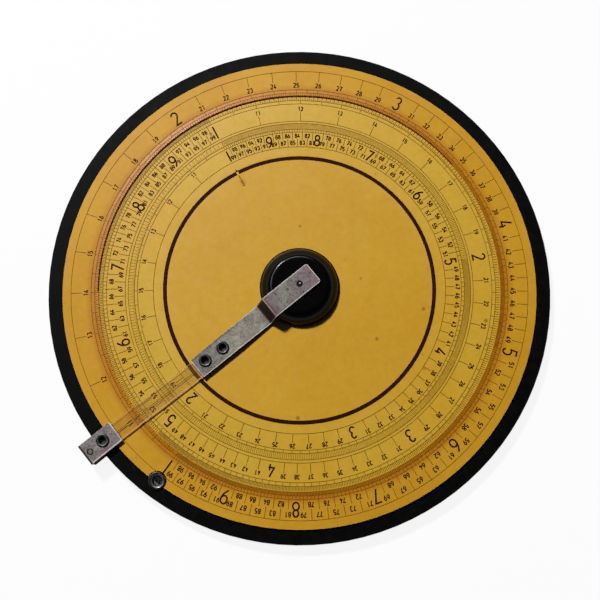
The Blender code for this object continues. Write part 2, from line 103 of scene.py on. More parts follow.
# The plate's inner border as (radius, height over the flat part), from its outside in, and its lip
FLARE = ((104.0, 0.0), (102.992, 0.0385), (101.984, 0.1375), (101.018, 0.2915), (99.8, 0.55))
LIP_RISE = 0.55


def flare_rise(radius):
    """How far the plate's face at a radius lies above its flat part."""
    for (outer, low), (inner, high) in zip(FLARE, FLARE[1:]):
        if inner <= radius < outer:
            return low + (outer - radius) / (outer - inner) * (high - low)
    return LIP_RISE if radius < FLARE[-1][0] else 0.0


def flat(radius):
    return 0.0


def clock_directions(clock):
    """Unit vectors outwards and clockwise at a clock angle."""
    angle = math.radians(clock)
    out = Vector((math.sin(angle), math.cos(angle)))
    return out, Vector((out.y, -out.x))


# Digits as strokes on a cell one high and DIGIT_WIDTH wide, and the step from one to the next in a number
DIGIT_WIDTH = 0.46
DIGIT_STEP = 0.72


def bow(x, y, across, up, first, last, steps=10):
    """Points on an ellipse from one angle to another, in degrees anticlockwise from +x."""
    turns = [math.radians(first + (last - first) * step / steps) for step in range(steps + 1)]
    return [(x + across * math.cos(turn), y + up * math.sin(turn)) for turn in turns]


def digit_strokes():
    """For each digit its strokes, each a list of points and whether it closes on itself."""
    wide = DIGIT_WIDTH
    half = wide / 2
    six = [(0.36, 1.0), (0.22, 0.86), (0.09, 0.66), (0.02, 0.45), (0.0, 0.30)]
    bowl = bow(half, 0.29, half, 0.29, 180, 540, 18)[:-1]
    nine = [(wide - x, 1 - y) for x, y in six]
    ball = [(wide - x, 1 - y) for x, y in bowl]
    return {
        "0": [(bow(half, 0.76, half, 0.24, 0, 180) + bow(half, 0.24, half, 0.24, 180, 360), True)],
        "1": [([(half - 0.13, 0.80), (half + 0.04, 1.0), (half + 0.04, 0.0)], False)],
        "2": [(bow(half, 0.75, half, 0.25, 165, -32) + [(0.02, 0.0), (wide, 0.0)], False)],
        "3": [
            (bow(half, 0.755, 0.20, 0.245, 155, -80), False),
            (bow(half, 0.265, half, 0.265, 82, -155), False),
        ],
        "4": [([(0.28, 1.0), (0.0, 0.26), (wide, 0.26)], False), ([(0.34, 0.50), (0.34, 0.0)], False)],
        "5": [([(0.42, 1.0), (0.07, 1.0), (0.03, 0.56)] + bow(half, 0.31, half, 0.31, 118, -150), False)],
        "6": [(six, False), (bowl, True)],
        "7": [([(0.0, 1.0), (wide, 1.0), (0.13, 0.0)], False)],
        "8": [
            (bow(half, 0.765, 0.19, 0.235, 0, 360, 16)[:-1], True),
            (bow(half, 0.265, half, 0.265, 0, 360, 18)[:-1], True),
        ],
        "9": [(nine, False), (ball, True)],
    }


DIGITS = digit_strokes()


class Print:
    """Print built up from small faces that look up, and follow the face that carries it."""

    def __init__(self, height, rise=flat, shift=(0.0, 0.0)):
        self.height = height
        self.rise = rise
        self.shift = Vector(shift)
        self.points = []
        self.faces = []
        self.layer = 0

    def next_layer(self):
        """Strokes that cross lie at different heights, so neither shades the other."""
        self.layer = (self.layer + 1) % PRINT_LAYERS

    def face(self, corners):
        start = len(self.points)
        for corner in corners:
            rise = self.rise(Vector(corner).length) + self.layer * LAYER_STEP
            placed = Vector(corner) + self.shift
            self.points.append((placed.x * MM, placed.y * MM, self.height + rise * MM))
        self.faces.append(range(start, start + len(corners)))

    def tick(self, clock, near, far, width):
        self.next_layer()
        out, across = clock_directions(clock)
        near, far = min(near, far), max(near, far)
        side = across * width / 2
        bends = [radius for radius, rise in reversed(FLARE) if near < radius < far]
        stops = [near] + bends + [far]
        for here, there in zip(stops, stops[1:]):
            self.face([out * here - side, out * here + side, out * there + side, out * there - side])

    def arc(self, radius, width, first=0.0, last=360.0):
        self.layer = PRINT_LAYERS
        steps = round(last - first)
        inner, outer = radius - width / 2, radius + width / 2
        for step in range(steps):
            here = clock_directions(first + (last - first) * step / steps)[0]
            there = clock_directions(first + (last - first) * (step + 1) / steps)[0]
            self.face([here * inner, there * inner, there * outer, here * outer])

    def stroke(self, path, closed, width):
        self.next_layer()
        path = [Vector(point) for point in path]
        count = len(path)
        ends = []
        for index, point in enumerate(path):
            before = path[index - 1] if index or closed else None
            after = path[(index + 1) % count] if index + 1 < count or closed else None
            into = (point - before).normalized() if before else (after - point).normalized()
            away = (after - point).normalized() if after else into
            along = (into + away).normalized()
            left = Vector((-along.y, along.x))
            reach = width / 2 / max(0.5, left.dot(Vector((-into.y, into.x))))
            ends.append((point + left * reach, point - left * reach))
        for index in range(count if closed else count - 1):
            (left, right), (next_left, next_right) = ends[index], ends[(index + 1) % count]
            self.face([right, next_right, next_left, left])

    def number(self, text, clock, radius, height, weight):
        """Digits side by side, upright when their place is at the top of the face."""
        out, across = clock_directions(clock)
        total = (len(text) - 1) * DIGIT_STEP + DIGIT_WIDTH
        for index, digit in enumerate(text):
            shift = index * DIGIT_STEP - total / 2
            for path, closed in DIGITS[digit]:
                placed = []
                for x, y in path:
                    reach = radius + (y - 0.5) * height
                    placed.append(out * reach + across * (x + shift) * height)
                self.stroke(placed, closed, weight)

    def made(self, name, material, body, slot):
        new_piece(name, self.points, self.faces, material, body)


def new_piece(name, points, faces, material, body, place=(0, 0, 0), sharp=None):
    """A piece of this script's own on a body. Where sharp is given, edges below that angle are smooth."""
    mesh = bpy.data.meshes.new(name)
    mesh.from_pydata(points, [], faces)
    mesh.materials.append(material)
    if sharp:
        mesh.shade_smooth()
        mesh.set_sharp_from_angle(angle=math.radians(sharp))
    piece = bpy.data.objects.new(name, mesh)
    piece.location = place
    bpy.context.scene.collection.objects.link(piece)
    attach(piece, body)
    return piece


# The three scales. "one" is the clock angle of the value 1 and "turn" the way that values rise. All else is
# a radius or a pair of them, but for "size", a small number's height, and "fine_line", a fine tick's width.
PLATE_SCALE = {
    "one": PLATE_ONE, "turn": 1, "fine": (101.75, 99.95), "half": 100.85, "medium": (101.75, 103.53),
    "single": 106.02, "single_tick": (113.45, 107.96), "size": 2.75,
    "odd": (110.7, 103.53, 108.26), "even": (105.92, 113.45, 107.96),
    "digit": (104.5, 112.03), "bar": (104.7, 112.33), "edge": 113.45, "fine_line": 0.28,
}
DISC_SCALE = {
    "one": DISC_ONE, "turn": 1, "fine": (97.53, 99.6), "half": 98.5, "medium": (97.53, 95.73),
    "single": 93.03, "single_tick": (91.52, 86.42), "size": 2.45,
    "odd": (88.92, 95.73, 90.32), "even": (93.43, 86.42, 91.72),
    "digit": (87.52, 94.42), "bar": (87.42, 94.42), "edge": 86.42, "fine_line": 0.29,
}
RECIPROCAL_SCALE = {
    "one": DISC_ONE, "turn": -1, "fine": (81.99, 85.05), "half": 82.95, "medium": (81.99, 80.47),
    "single": 78.57, "single_tick": (77.07, 72.58), "size": 2.45,
    "odd": (74.77, 80.47, 76.37), "even": (78.47, 72.58, 76.87),
    "digit": (73.27, 79.57), "bar": (73.37, 79.37), "edge": 72.58, "fine_line": 0.18,
}

# The disc's scales are printed a little off the middle
DISC_SCALE_SHIFT = (-0.15, 0.14)
RECIPROCAL_SCALE_SHIFT = (-0.04, 0.27)

# Widths of the printed lines and of the strokes of small and large digits
MEDIUM_LINE = 0.24
NUMBER_LINE = 0.30
CIRCLE_LINE = 0.27
BAR_LINE = 0.80
SMALL_WEIGHT = 0.49
LARGE_WEIGHT = 0.80


def place_of(scale, value):
    return scale["one"] + scale["turn"] * 360 * math.log10(value)


def fine_ticks(lines, scale):
    circle, end = scale["fine"]
    width = scale["fine_line"]
    for thousandths in range(1000, 10000, 5):
        value = thousandths / 1000
        clock = place_of(scale, value)
        if thousandths % 10:
            if value < 2:
                lines.tick(clock, circle, scale["half"], width)
        elif value <= 5 or thousandths % 20 == 0:
            lines.tick(clock, circle, end, width)
    lines.arc(circle, CIRCLE_LINE)


def medium_ticks(lines, scale):
    for twentieths in range(20, 200):
        lines.tick(place_of(scale, twentieths / 20), *scale["medium"], MEDIUM_LINE)
    lines.arc(scale["medium"][1], CIRCLE_LINE)


def number_ticks(lines, numbers, scale):
    size = scale["size"] - SMALL_WEIGHT
    for tenths in range(10, 100):
        clock = place_of(scale, tenths / 10)
        if tenths == 10:
            numbers.tick(clock, *scale["bar"], BAR_LINE)
        elif tenths % 10 == 0:
            low, high = scale["digit"]
            height = high - low - LARGE_WEIGHT
            numbers.number(str(tenths // 10), clock, (low + high) / 2, height, LARGE_WEIGHT)
        elif tenths < 50:
            lines.tick(clock, *scale["single_tick"], NUMBER_LINE)
            numbers.number(str(tenths), clock, scale["single"], size, SMALL_WEIGHT)
        else:
            row, tick_from, tick_to = scale["odd" if tenths % 2 else "even"]
            lines.tick(clock, tick_from, tick_to, NUMBER_LINE)
            numbers.number(str(tenths), clock, row, size, SMALL_WEIGHT)
    lines.arc(scale["edge"], CIRCLE_LINE)


# The bold ring, broken for RING_BREAK degrees either side of the disc's pointer, and the pointer itself
RING_RADIUS = 66.88
RING_WIDTH = 1.92
RING_BREAK = 0.5
ARROW_FOOT = 67.5
ARROW_TIP = 69.1
ARROW_HALF_WIDTH = 0.7
SHAFT_ENDS = (58.9, 65.6)
SHAFT_WIDTH = 0.46
BARB_ROOTS = (61.7, 60.8, 59.9, 59.0)
BARB_REACH = 1.3
BARB_THICKNESS = 0.55

# A painted shadow along the plate's lip: a dark red line on its lit side, from one clock angle to another
LIP_SHADOW_RADIUS = 100.02
LIP_SHADOW_WIDTH = 0.42
LIP_SHADOW_SPAN = (268.0, 410.0)


def index_mark(ring, faded):
    """The disc's pointer: an arrowhead on the bold ring, and a thin feathered shaft inside it."""
    out, across = clock_directions(DISC_ONE)
    foot, half = out * ARROW_FOOT, across * ARROW_HALF_WIDTH
    ring.face([foot - half, foot + half, out * ARROW_TIP])
    faded.tick(DISC_ONE, *SHAFT_ENDS, SHAFT_WIDTH)
    for radius in BARB_ROOTS:
        for turn in (-1, 1):
            faded.next_layer()
            root = out * radius
            upper = root + out * BARB_THICKNESS
            tip = out * (radius + BARB_REACH) + across * turn * BARB_REACH
            faded.face([root, upper, tip] if turn > 0 else [root, tip, upper])


# The cursor's own sizes that its materials follow. Near and far are distances from the axis along it, and
# left and right are either side of the line through the axis, as seen from its outer end looking in.
ARM_TAIL = 9.0
ARM_FOOT = 22.0
ARM_REACH = 64.7
ARM_LEFT = 5.8
ARM_END_LEFT = 5.0
ARM_RIGHT = 5.5
STEP_TOP = 18.8
CLIP_NEAR = 113.5
CLIP_FAR = 132.3
CLIP_RIGHT = 4.6
BLADE_NEAR = 42.7
BLADE_FAR = 125.3
BLADE_NEAR_LEFT = 3.6
BLADE_FAR_LEFT = 5.7
BLADE_NEAR_RIGHT = 5.5
BLADE_FAR_RIGHT = 3.6

# Wear, painted highlights and darkening at the cursor's edges; a pair is where each begins and is full.
EDGE_WEAR_AND_SHEEN = 0.45
LEFT_WEAR_AND_SHEEN = (44.0, 24.0)
CLIP_NEAR_WEAR_AND_SHEEN = (CLIP_NEAR + 0.75, CLIP_NEAR + 0.5)
CLIP_RIGHT_WEAR_AND_SHEEN = (CLIP_RIGHT - 0.85, CLIP_RIGHT - 0.6)
CLIP_FAR_DARKENING = (CLIP_FAR - 1.05, CLIP_FAR - 0.8)
BLADE_EDGE = 0.5

# Tints along the strip. A band has such a pair for its near end and another for its far end, and the soiled
# depth is in from the strip's left side.
TAIL_VIOLET = (4.0, -5.0)
PALE_BAND = ((ARM_FOOT, ARM_FOOT + 6.0), (54.0, 44.0))
RUSTY_BAND = ((STEP_TOP - 3.0, STEP_TOP - 0.5), (ARM_FOOT + 1.0, ARM_FOOT))
# The step's band is painted shade with a painted brown reflection of the disc; the crease's band is a
# painted highlight
STEP_PAINTED_SHADE = ((STEP_TOP, STEP_TOP + 0.3), (ARM_FOOT + 1.2, ARM_FOOT - 0.4))
CREASE_HIGHLIGHT = ((STEP_TOP - 0.35, STEP_TOP - 0.15), (STEP_TOP + 0.35, STEP_TOP + 0.15))
SOILED_FROM = (26.0, 40.0)
SOILED_DEPTH = (2.0, 0.6)

# The hairline as (distance from the axis, place to the right) at its ends, and how far below the blade it is
HAIRLINE_ENDS = ((65.5, 0.45), (117.0, -0.46))
HAIRLINE_HALF_WIDTH = 0.14
HAIRLINE_DROP = 0.01

# A painted highlight in the centre pin's tip, and the radii where it begins and is full
PIN_HIGHLIGHT = (0.15, 0.35)
PIN_HIGHLIGHT_FADE = (0.48, 0.25)

# Bevels on the CAD pieces of steel, whose meshes come split along their edges
ARM_BEVEL = 0.14
CLIP_BEVEL = 0.1
BEVEL_ANGLE = 40.0
WELD_DISTANCE = 0.001

# Eyelets as (bore, flange, height of the head, barrel, height of the foot), all but heights being radii, and
# the radii between which their enamel is rubbed through
SMALL_EYELET = (1.8, 3.15, 0.55, 2.2, 0.3)
HANGING_EYELET = (2.25, 4.4, 0.9, 2.75, 0.6)
SMALL_RUBBED = (1.88, 2.5)
HANGING_RUBBED = (2.25, 3.2)
EYELET_STEPS = 64
EYELET_SHARP = 50.0

# The knob's outline as (radius, height over its underside), and its washer pocket and bore
KNOB_OUTLINE = (
    (19.3, 0.0), (19.8, 0.3), (19.8, 0.65), (19.67, 0.86), (19.4, 0.95), (19.2, 1.1), (19.05, 1.69),
    (18.7, 2.65), (18.0, 3.86), (17.0, 5.11), (16.0, 6.11), (15.0, 6.93), (14.5, 7.25), (13.95, 7.5),
    (13.2, 7.6), (12.0, 7.6),
)
KNOB_POCKET = ((4.9, 7.6), (4.9, 6.7), (4.1, 6.7), (4.1, 0.0))
KNOB_STEPS = 144
KNOB_SHARP = 35.0

# Tones that several materials share, and the brown specks in the celluloid
# bright worn steel, also the colour of painted highlights at the cursor's edges and crease
BRIGHT_STEEL_AND_HIGHLIGHT = (0.52, 0.47, 0.44)
# painted shade for the upright sides of steel strips
SIDE_SHADE_TONE = (0.012, 0.010, 0.010)
STEEL_GLOSS = 0.2
SPECK_SCALE = 130
SPECK_SIZE = 0.18
SPECK_TONE = (0.17, 0.065, 0.010)


def cursor_directions():
    """Unit vectors out along the cursor, and to its right as seen from its outer end looking in."""
    out = clock_directions(CURSOR_CLOCK)[0]
    return out, Vector((-out.y, out.x))


# Materials
class Shader:
    """A principled material and short ways to add nodes to it."""

    def __init__(self, name, **sockets):
        self.material = bpy.data.materials.new(name)
        self.material.use_nodes = True
        self.tree = self.material.node_tree
        self.principled = self.tree.nodes["Principled BSDF"]
        self.place = self.node("ShaderNodeTexCoord").outputs["Object"]
        for socket, value in sockets.items():
            self.set(socket.replace("_", " ").title().replace("Ior", "IOR"), value)

    def node(self, kind, **settings):
        made = self.tree.nodes.new(kind)
        for setting, value in settings.items():
            setattr(made, setting, value)
        return made

    def feed(self, socket, value):
        if isinstance(value, bpy.types.NodeSocket):
            self.tree.links.new(value, socket)
        elif value is not None:
            socket.default_value = value

    def set(self, socket, value):
        self.feed(self.principled.inputs[socket], value)

    def noise(self, scale, detail, roughness=0.55, place=None, distortion=0.0):
        made = self.node("ShaderNodeTexNoise")
        self.feed(made.inputs["Vector"], place or self.place)
        self.feed(made.inputs["Scale"], scale)
        self.feed(made.inputs["Detail"], detail)
        self.feed(made.inputs["Roughness"], roughness)
        self.feed(made.inputs["Distortion"], distortion)
        return made.outputs["Fac"]

    def stretched(self, scales, turn):
        """The place turned about Z and then scaled along each axis."""
        first = self.node("ShaderNodeMapping")
        self.feed(first.inputs["Vector"], self.place)
        first.inputs["Rotation"].default_value = (0, 0, turn)
        second = self.node("ShaderNodeMapping")
        self.feed(second.inputs["Vector"], first.outputs["Vector"])
        second.inputs["Scale"].default_value = scales
        return second.outputs["Vector"]

    def ramp(self, value, first, last):
        """First and last are stops of (position, level), whose level is a number or a colour of three."""
        made = self.node("ShaderNodeValToRGB")
        for element, (position, colour) in zip(made.color_ramp.elements, (first, last)):
            element.position = position
            colour = colour if isinstance(colour, tuple) else (colour,) * 3
            element.color = (*colour, 1.0)
        self.feed(made.inputs["Fac"], value)
        return made.outputs["Color"]

    def mix(self, factor, first, second, blend="MIX"):
        made = self.node("ShaderNodeMix", data_type="RGBA", blend_type=blend)
        self.feed(made.inputs[0], factor)
        for socket, value in ((made.inputs[6], first), (made.inputs[7], second)):
            if isinstance(value, tuple):
                value = (*value, 1.0)
            self.feed(socket, value)
        return made.outputs[2]

    def tinted(self, colour, tint):
        return self.mix(1.0, colour, tint, "MULTIPLY")

    def maths(self, operation, first, second, clamp=False):
        made = self.node("ShaderNodeMath", operation=operation, use_clamp=clamp)
        self.feed(made.inputs[0], first)
        self.feed(made.inputs[1], second)
        return made.outputs[0]

    def times(self, first, second):
        return self.maths("MULTIPLY", first, second)

    def larger(self, first, second):
        return self.maths("MAXIMUM", first, second)

    def bump(self, height, distance):
        made = self.node("ShaderNodeBump")
        self.feed(made.inputs["Height"], height)
        self.feed(made.inputs["Distance"], distance)
        self.set("Normal", made.outputs["Normal"])

    def between(self, value, low, high, first=0.0, last=1.0):
        """From first to last as a length in metres goes from low to high, which are in millimetres."""
        made = self.node("ShaderNodeMapRange")
        self.feed(made.inputs["Value"], value)
        ends = {"From Min": low * MM, "From Max": high * MM, "To Min": first, "To Max": last}
        for socket, number in ends.items():
            made.inputs[socket].default_value = number
        return made.outputs["Result"]

    def band(self, value, near, far):
        """One over a band of lengths, each of whose ends is a pair: where it begins and where it is full."""
        return self.times(self.between(value, *near), self.between(value, *far))

    def along_and_side(self):
        """Distance from the axis along the cursor's line, and to the right of that line, in metres."""
        sides = []
        for direction in cursor_directions():
            made = self.node("ShaderNodeVectorMath", operation="DOT_PRODUCT")
            self.feed(made.inputs[0], self.place)
            made.inputs[1].default_value = (direction.x, direction.y, 0.0)
            sides.append(made.outputs["Value"])
        return sides

    def level_place(self):
        """The place with its height left out."""
        made = self.node("ShaderNodeVectorMath", operation="MULTIPLY")
        self.feed(made.inputs[0], self.place)
        made.inputs[1].default_value = (1, 1, 0)
        return made.outputs[0]

    def radius(self):
        """Distance from the piece's own upright axis, in metres."""
        made = self.node("ShaderNodeVectorMath", operation="LENGTH")
        self.feed(made.inputs[0], self.level_place())
        return made.outputs["Value"]


def scaled(colour, *factors):
    """A colour times one factor, or times a factor for each of its three levels."""
    factors = factors if len(factors) == 3 else factors * 3
    return tuple(level * factor for level, factor in zip(colour, factors))


def ink(name, colour):
    """Printer's ink, a little thin in places."""
    shader = Shader(name, roughness=0.6, specular_ior_level=0.03)
    worn = shader.ramp(shader.noise(900, 3), (0.45, 0.0), (0.85, 1.0))
    shader.set("Base Color", shader.mix(worn, colour, scaled(colour, 2.0)))
    return shader.material


def celluloid(name, pale, deep, gloss, rim=None, grime=None):
    """Aged amber celluloid: cloudy tone, fine grain, brown specks, a soft gloss.

    Rim and grime are each (radius where it begins, radius where it is full, tone). The rim's tone takes the
    place of the pale one, and the grime's multiplies the colour.
    """
    shader = Shader(name, specular_ior_level=gloss)
    cloud = shader.ramp(shader.noise(22, 3), (0.32, 0.0), (0.68, 1.0))
    colour = shader.mix(cloud, pale, deep)
    if rim:
        begins, full, tone = rim
        share = shader.between(shader.radius(), begins, full)
        colour = shader.mix(share, colour, shader.mix(cloud, tone, pale))
    if grime:
        begins, full, tone = grime
        patchy = shader.ramp(shader.noise(90, 4, 0.6), (0.3, 0.75), (0.7, 1.0))
        share = shader.times(shader.between(shader.radius(), begins, full), patchy)
        colour = shader.mix(share, colour, shader.tinted(colour, tone))
    grain = shader.ramp(shader.noise(420, 6, 0.7), (0.3, (0.92, 0.91, 0.85)), (0.7, (1.05, 1.05, 1.10)))
    colour = shader.tinted(colour, grain)
    speck = shader.node("ShaderNodeTexVoronoi")
    shader.feed(speck.inputs["Vector"], shader.place)
    shader.feed(speck.inputs["Scale"], SPECK_SCALE)
    chance = shader.node("ShaderNodeSeparateColor")
    shader.feed(chance.inputs[0], speck.outputs["Color"])
    size = shader.times(shader.maths("POWER", chance.outputs[0], 7.0), SPECK_SIZE)
    stain = shader.maths("SUBTRACT", size, speck.outputs["Distance"])
    stain = shader.maths("MULTIPLY", stain, 9.0, clamp=True)
    colour = shader.mix(shader.ramp(stain, (0.0, 0.0), (1.0, 0.7)), colour, SPECK_TONE)
    shader.set("Base Color", colour)
    shader.set("Roughness", shader.ramp(shader.noise(160, 5), (0.3, 0.33), (0.7, 0.42)))
    shader.bump(shader.noise(240, 5), 0.00002)
    return shader.material


def board_black():
    """Black lacquered board with a slightly chipped, dusty rim."""
    shader = Shader("rim_lacquer", specular_ior_level=0.030)
    clean, dusty = (0.0013, 0.0013, 0.0012), (0.004, 0.0038, 0.0034)
    dust = shader.ramp(shader.noise(150, 6, 0.65), (0.45, clean), (0.8, dusty))
    chips = shader.ramp(shader.noise(700, 4), (0.71, 0.0), (0.76, 0.4))
    shader.set("Base Color", shader.mix(chips, dust, (0.04, 0.037, 0.03)))
    shader.set("Roughness", shader.ramp(shader.noise(300, 4), (0.3, 0.45), (0.7, 0.60)))
    shader.bump(shader.noise(900, 5), 0.00003)
    return shader.material


def moulding_black():
    """Polished black moulding with hairline scratches and a few dust marks."""
    shader = Shader("black_moulding", specular_ior_level=0.13)
    clean, dusty = (0.0012, 0.0012, 0.0013), (0.008, 0.008, 0.007)
    shader.set("Base Color", shader.ramp(shader.noise(1400, 3), (0.66, clean), (0.76, dusty)))
    scratch = shader.noise(60, 8, 0.75, shader.stretched((1, 22, 1), 0.7))
    shader.set("Roughness", shader.ramp(scratch, (0.35, 0.15), (0.75, 0.26)))
    shader.bump(scratch, 0.000006)
    return shader.material


def mottled(shader, tone, turn, warmth):
    """The colour of old steel, with rolling marks, stains, grain and pits, and the share of its tarnish."""
    drawn = shader.noise(70, 8, 0.7, shader.stretched((1, 12, 6), turn))
    patch = shader.ramp(shader.noise(260, 6, 0.75, distortion=0.8), (0.42, 0.0), (0.60, 1.0))
    cool = shader.ramp(shader.noise(95, 3, 0.5), (0.44, 0.0), (0.58, 1.0))
    warm = shader.ramp(shader.noise(130, 4, 0.6), (0.46, 0.0), (0.60, warmth))
    dark = scaled(tone, 0.42)
    colour = shader.mix(cool, tone, scaled(tone, 1.16, 1.26, 1.08))
    colour = shader.mix(warm, colour, scaled(tone, 0.90, 0.66, 0.66))
    colour = shader.mix(shader.ramp(patch, (0.0, 0.0), (1.0, 0.75)), colour, dark)
    colour = shader.mix(shader.ramp(drawn, (0.40, 0.0), (0.7, 0.35)), colour, dark)
    grain = shader.ramp(shader.noise(1500, 5, 0.8), (0.36, (0.55, 0.52, 0.50)), (0.64, (1.35, 1.35, 1.35)))
    colour = shader.tinted(colour, grain)
    pits = shader.ramp(shader.noise(650, 4, 0.6), (0.60, 0.0), (0.67, 0.8))
    return shader.mix(pits, colour, (0.022, 0.018, 0.017)), patch


def steel_finish(shader, colour, patch, roughness):
    """Bright enough faces; a strip's sawn sides get painted shade, near black and not metallic."""
    facing = shader.node("ShaderNodeSeparateXYZ")
    shader.feed(facing.inputs[0], shader.node("ShaderNodeNewGeometry").outputs["Normal"])
    upright = shader.maths("ABSOLUTE", facing.outputs["Z"], None)
    # upright faces take painted shade
    sawn = shader.ramp(upright, (0.10, 1.0), (0.45, 0.0))
    shader.set("Base Color", shader.mix(sawn, colour, SIDE_SHADE_TONE))
    shader.set("Metallic", shader.ramp(sawn, (0.0, 0.55), (1.0, 0.0)))
    shader.set("Roughness", shader.ramp(patch, (0.0, roughness[0]), (1.0, roughness[1])))
    shader.bump(shader.noise(1100, 4), 0.00002)
    return shader.material


def worn_steel(name, tone, turn, warmth=0.35, roughness=(0.42, 0.60)):
    shader = Shader(name, specular_ior_level=STEEL_GLOSS)
    colour, patch = mottled(shader, tone, turn, warmth)
    return steel_finish(shader, colour, patch, roughness)


def jaw_steel(turn):
    """Clip steel: violet and green tarnish; worn near and right edges with painted highlights; a dark far
    edge.
    """
    shader = Shader("clip_steel", specular_ior_level=STEEL_GLOSS)
    along, side = shader.along_and_side()
    colour, patch = mottled(shader, (0.200, 0.182, 0.188), turn, 0.5)
    violet = shader.tinted(colour, (1.05, 0.92, 1.12))
    green = shader.tinted(colour, (0.95, 1.10, 0.90))
    clouds = shader.noise(190, 3, 0.5, distortion=0.6)
    colour = shader.mix(shader.ramp(clouds, (0.44, 0.0), (0.54, 0.8)), colour, violet)
    colour = shader.mix(shader.ramp(clouds, (0.38, 0.8), (0.46, 0.0)), colour, green)
    # near and right edges: worn bright steel with a painted highlight
    right = shader.times(shader.between(side, *CLIP_RIGHT_WEAR_AND_SHEEN), 0.8)
    near = shader.between(along, *CLIP_NEAR_WEAR_AND_SHEEN, 0.0, 0.6)
    colour = shader.mix(shader.larger(right, near), colour, BRIGHT_STEEL_AND_HIGHLIGHT)
    # darker along the far end
    far = shader.between(along, *CLIP_FAR_DARKENING, 0.0, 0.95)
    colour = shader.mix(far, colour, (0.010, 0.008, 0.009))
    return steel_finish(shader, colour, patch, (0.46, 0.60))


def arm_steel(turn):
    """Strip steel: violet by its tail, greener and paler past the step, painted brown shade on the step."""
    shader = Shader("arm_steel", specular_ior_level=STEEL_GLOSS)
    along, side = shader.along_and_side()
    colour, patch = mottled(shader, (0.185, 0.170, 0.168), turn, 0.5)
    pale = shader.tinted(colour, (1.42, 1.50, 1.28))
    colour = shader.mix(shader.band(along, *PALE_BAND), colour, pale)
    violet = shader.tinted(colour, (1.06, 0.93, 1.03))
    colour = shader.mix(shader.between(along, *TAIL_VIOLET), colour, violet)
    rust = shader.tinted(colour, (0.78, 0.50, 0.50))
    colour = shader.mix(shader.band(along, *RUSTY_BAND), colour, rust)
    # painted shade on the step's slope, browned as a painted reflection of the amber disc
    colour = shader.mix(shader.band(along, *STEP_PAINTED_SHADE), colour, (0.040, 0.018, 0.009))
    to_left = shader.maths("ADD", side, ARM_LEFT * MM)
    soiled = shader.ramp(shader.noise(800, 4, 0.7), (0.44, 0.0), (0.56, 1.0))
    soiled = shader.times(soiled, shader.between(to_left, *SOILED_DEPTH))
    soiled = shader.times(soiled, shader.between(along, *SOILED_FROM))
    colour = shader.mix(soiled, colour, (0.030, 0.022, 0.020))
    # a painted highlight along the crease at the top of the step
    crease_highlight = shader.times(shader.band(along, *CREASE_HIGHLIGHT), 0.9)
    bright = shader.larger(arm_edges(shader, along, side), crease_highlight)
    colour = shader.mix(shader.times(bright, 0.85), colour, BRIGHT_STEEL_AND_HIGHLIGHT)
    return steel_finish(shader, colour, patch, (0.40, 0.56))


def arm_edges(shader, along, side):
    """Wear and a painted highlight near the strip's sides and ends; past its foot the left side slants
    inwards.
    """
    right = shader.between(side, ARM_RIGHT - EDGE_WEAR_AND_SHEEN, ARM_RIGHT - EDGE_WEAR_AND_SHEEN / 2)
    slant = shader.between(along, ARM_FOOT, ARM_REACH, 0.0, ARM_LEFT - ARM_END_LEFT)
    past_left = shader.maths("SUBTRACT", shader.times(side, -1.0), ARM_LEFT * MM)
    past_left = shader.maths("ADD", past_left, shader.times(slant, MM))
    left = shader.between(past_left, -EDGE_WEAR_AND_SHEEN, -EDGE_WEAR_AND_SHEEN / 2)
    left = shader.times(left, shader.between(along, *LEFT_WEAR_AND_SHEEN, 0.1, 0.8))
    tail = shader.between(along, EDGE_WEAR_AND_SHEEN - ARM_TAIL, EDGE_WEAR_AND_SHEEN / 2 - ARM_TAIL)
    end = shader.between(along, ARM_REACH - EDGE_WEAR_AND_SHEEN, ARM_REACH - EDGE_WEAR_AND_SHEEN / 2)
    return shader.larger(shader.larger(left, right), shader.larger(tail, end))


def pin_steel():
    """The riveted tip: painted shade all over, with a painted highlight, a bright spot towards the light."""
    shader = Shader("pin_steel", specular_ior_level=0.1, roughness=0.5)
    distance = shader.node("ShaderNodeVectorMath", operation="DISTANCE")
    shader.feed(distance.inputs[0], shader.level_place())
    distance.inputs[1].default_value = Vector((*PIN_HIGHLIGHT, 0.0)) * MM
    # the bright spot is a painted highlight, and the dark around it painted shade
    spot = shader.between(distance.outputs["Value"], *PIN_HIGHLIGHT_FADE)
    shader.set("Base Color", shader.mix(spot, (0.006, 0.002, 0.0015), (0.40, 0.32, 0.28)))
    shader.set("Metallic", shader.ramp(spot, (0.0, 0.0), (1.0, 0.6)))
    return shader.material


def enamel(name, mouth, crest):
    """Black enamel, rubbed through to steel from the mouth of the bore out to the crest of the roll."""
    shader = Shader(name, specular_ior_level=0.45)
    rubbed = shader.ramp(shader.noise(1300, 4, 0.6), (0.36, 0.35), (0.56, 1.0))
    inside = shader.between(shader.radius(), crest + 0.10, crest - 0.10)
    outside = shader.between(shader.radius(), mouth, mouth + 0.15)
    rubbed = shader.times(rubbed, shader.times(inside, outside))
    flecks = shader.ramp(shader.noise(900, 5, 0.65), (0.62, 0.0), (0.72, 0.5))
    rubbed = shader.larger(shader.times(rubbed, 0.9), shader.times(flecks, outside))
    shader.set("Base Color", shader.mix(rubbed, (0.003, 0.0033, 0.0036), (0.115, 0.115, 0.105)))
    shader.set("Metallic", shader.ramp(rubbed, (0.0, 0.0), (1.0, 0.5)))
    shader.set("Roughness", shader.ramp(shader.noise(500, 4), (0.3, 0.22), (0.7, 0.36)))
    return shader.material


def felt(name, tone):
    """Pressed wool felt."""
    shader = Shader(name, roughness=0.95, sheen_weight=0.3, sheen_roughness=0.5)
    fibre = shader.noise(2600, 6, 0.8, distortion=1.5)
    light = shader.ramp(fibre, (0.35, 0.0), (0.7, 1.0))
    shader.set("Base Color", shader.mix(light, tone, scaled(tone, 2.2)))
    shader.bump(fibre, 0.00025)
    return shader.material


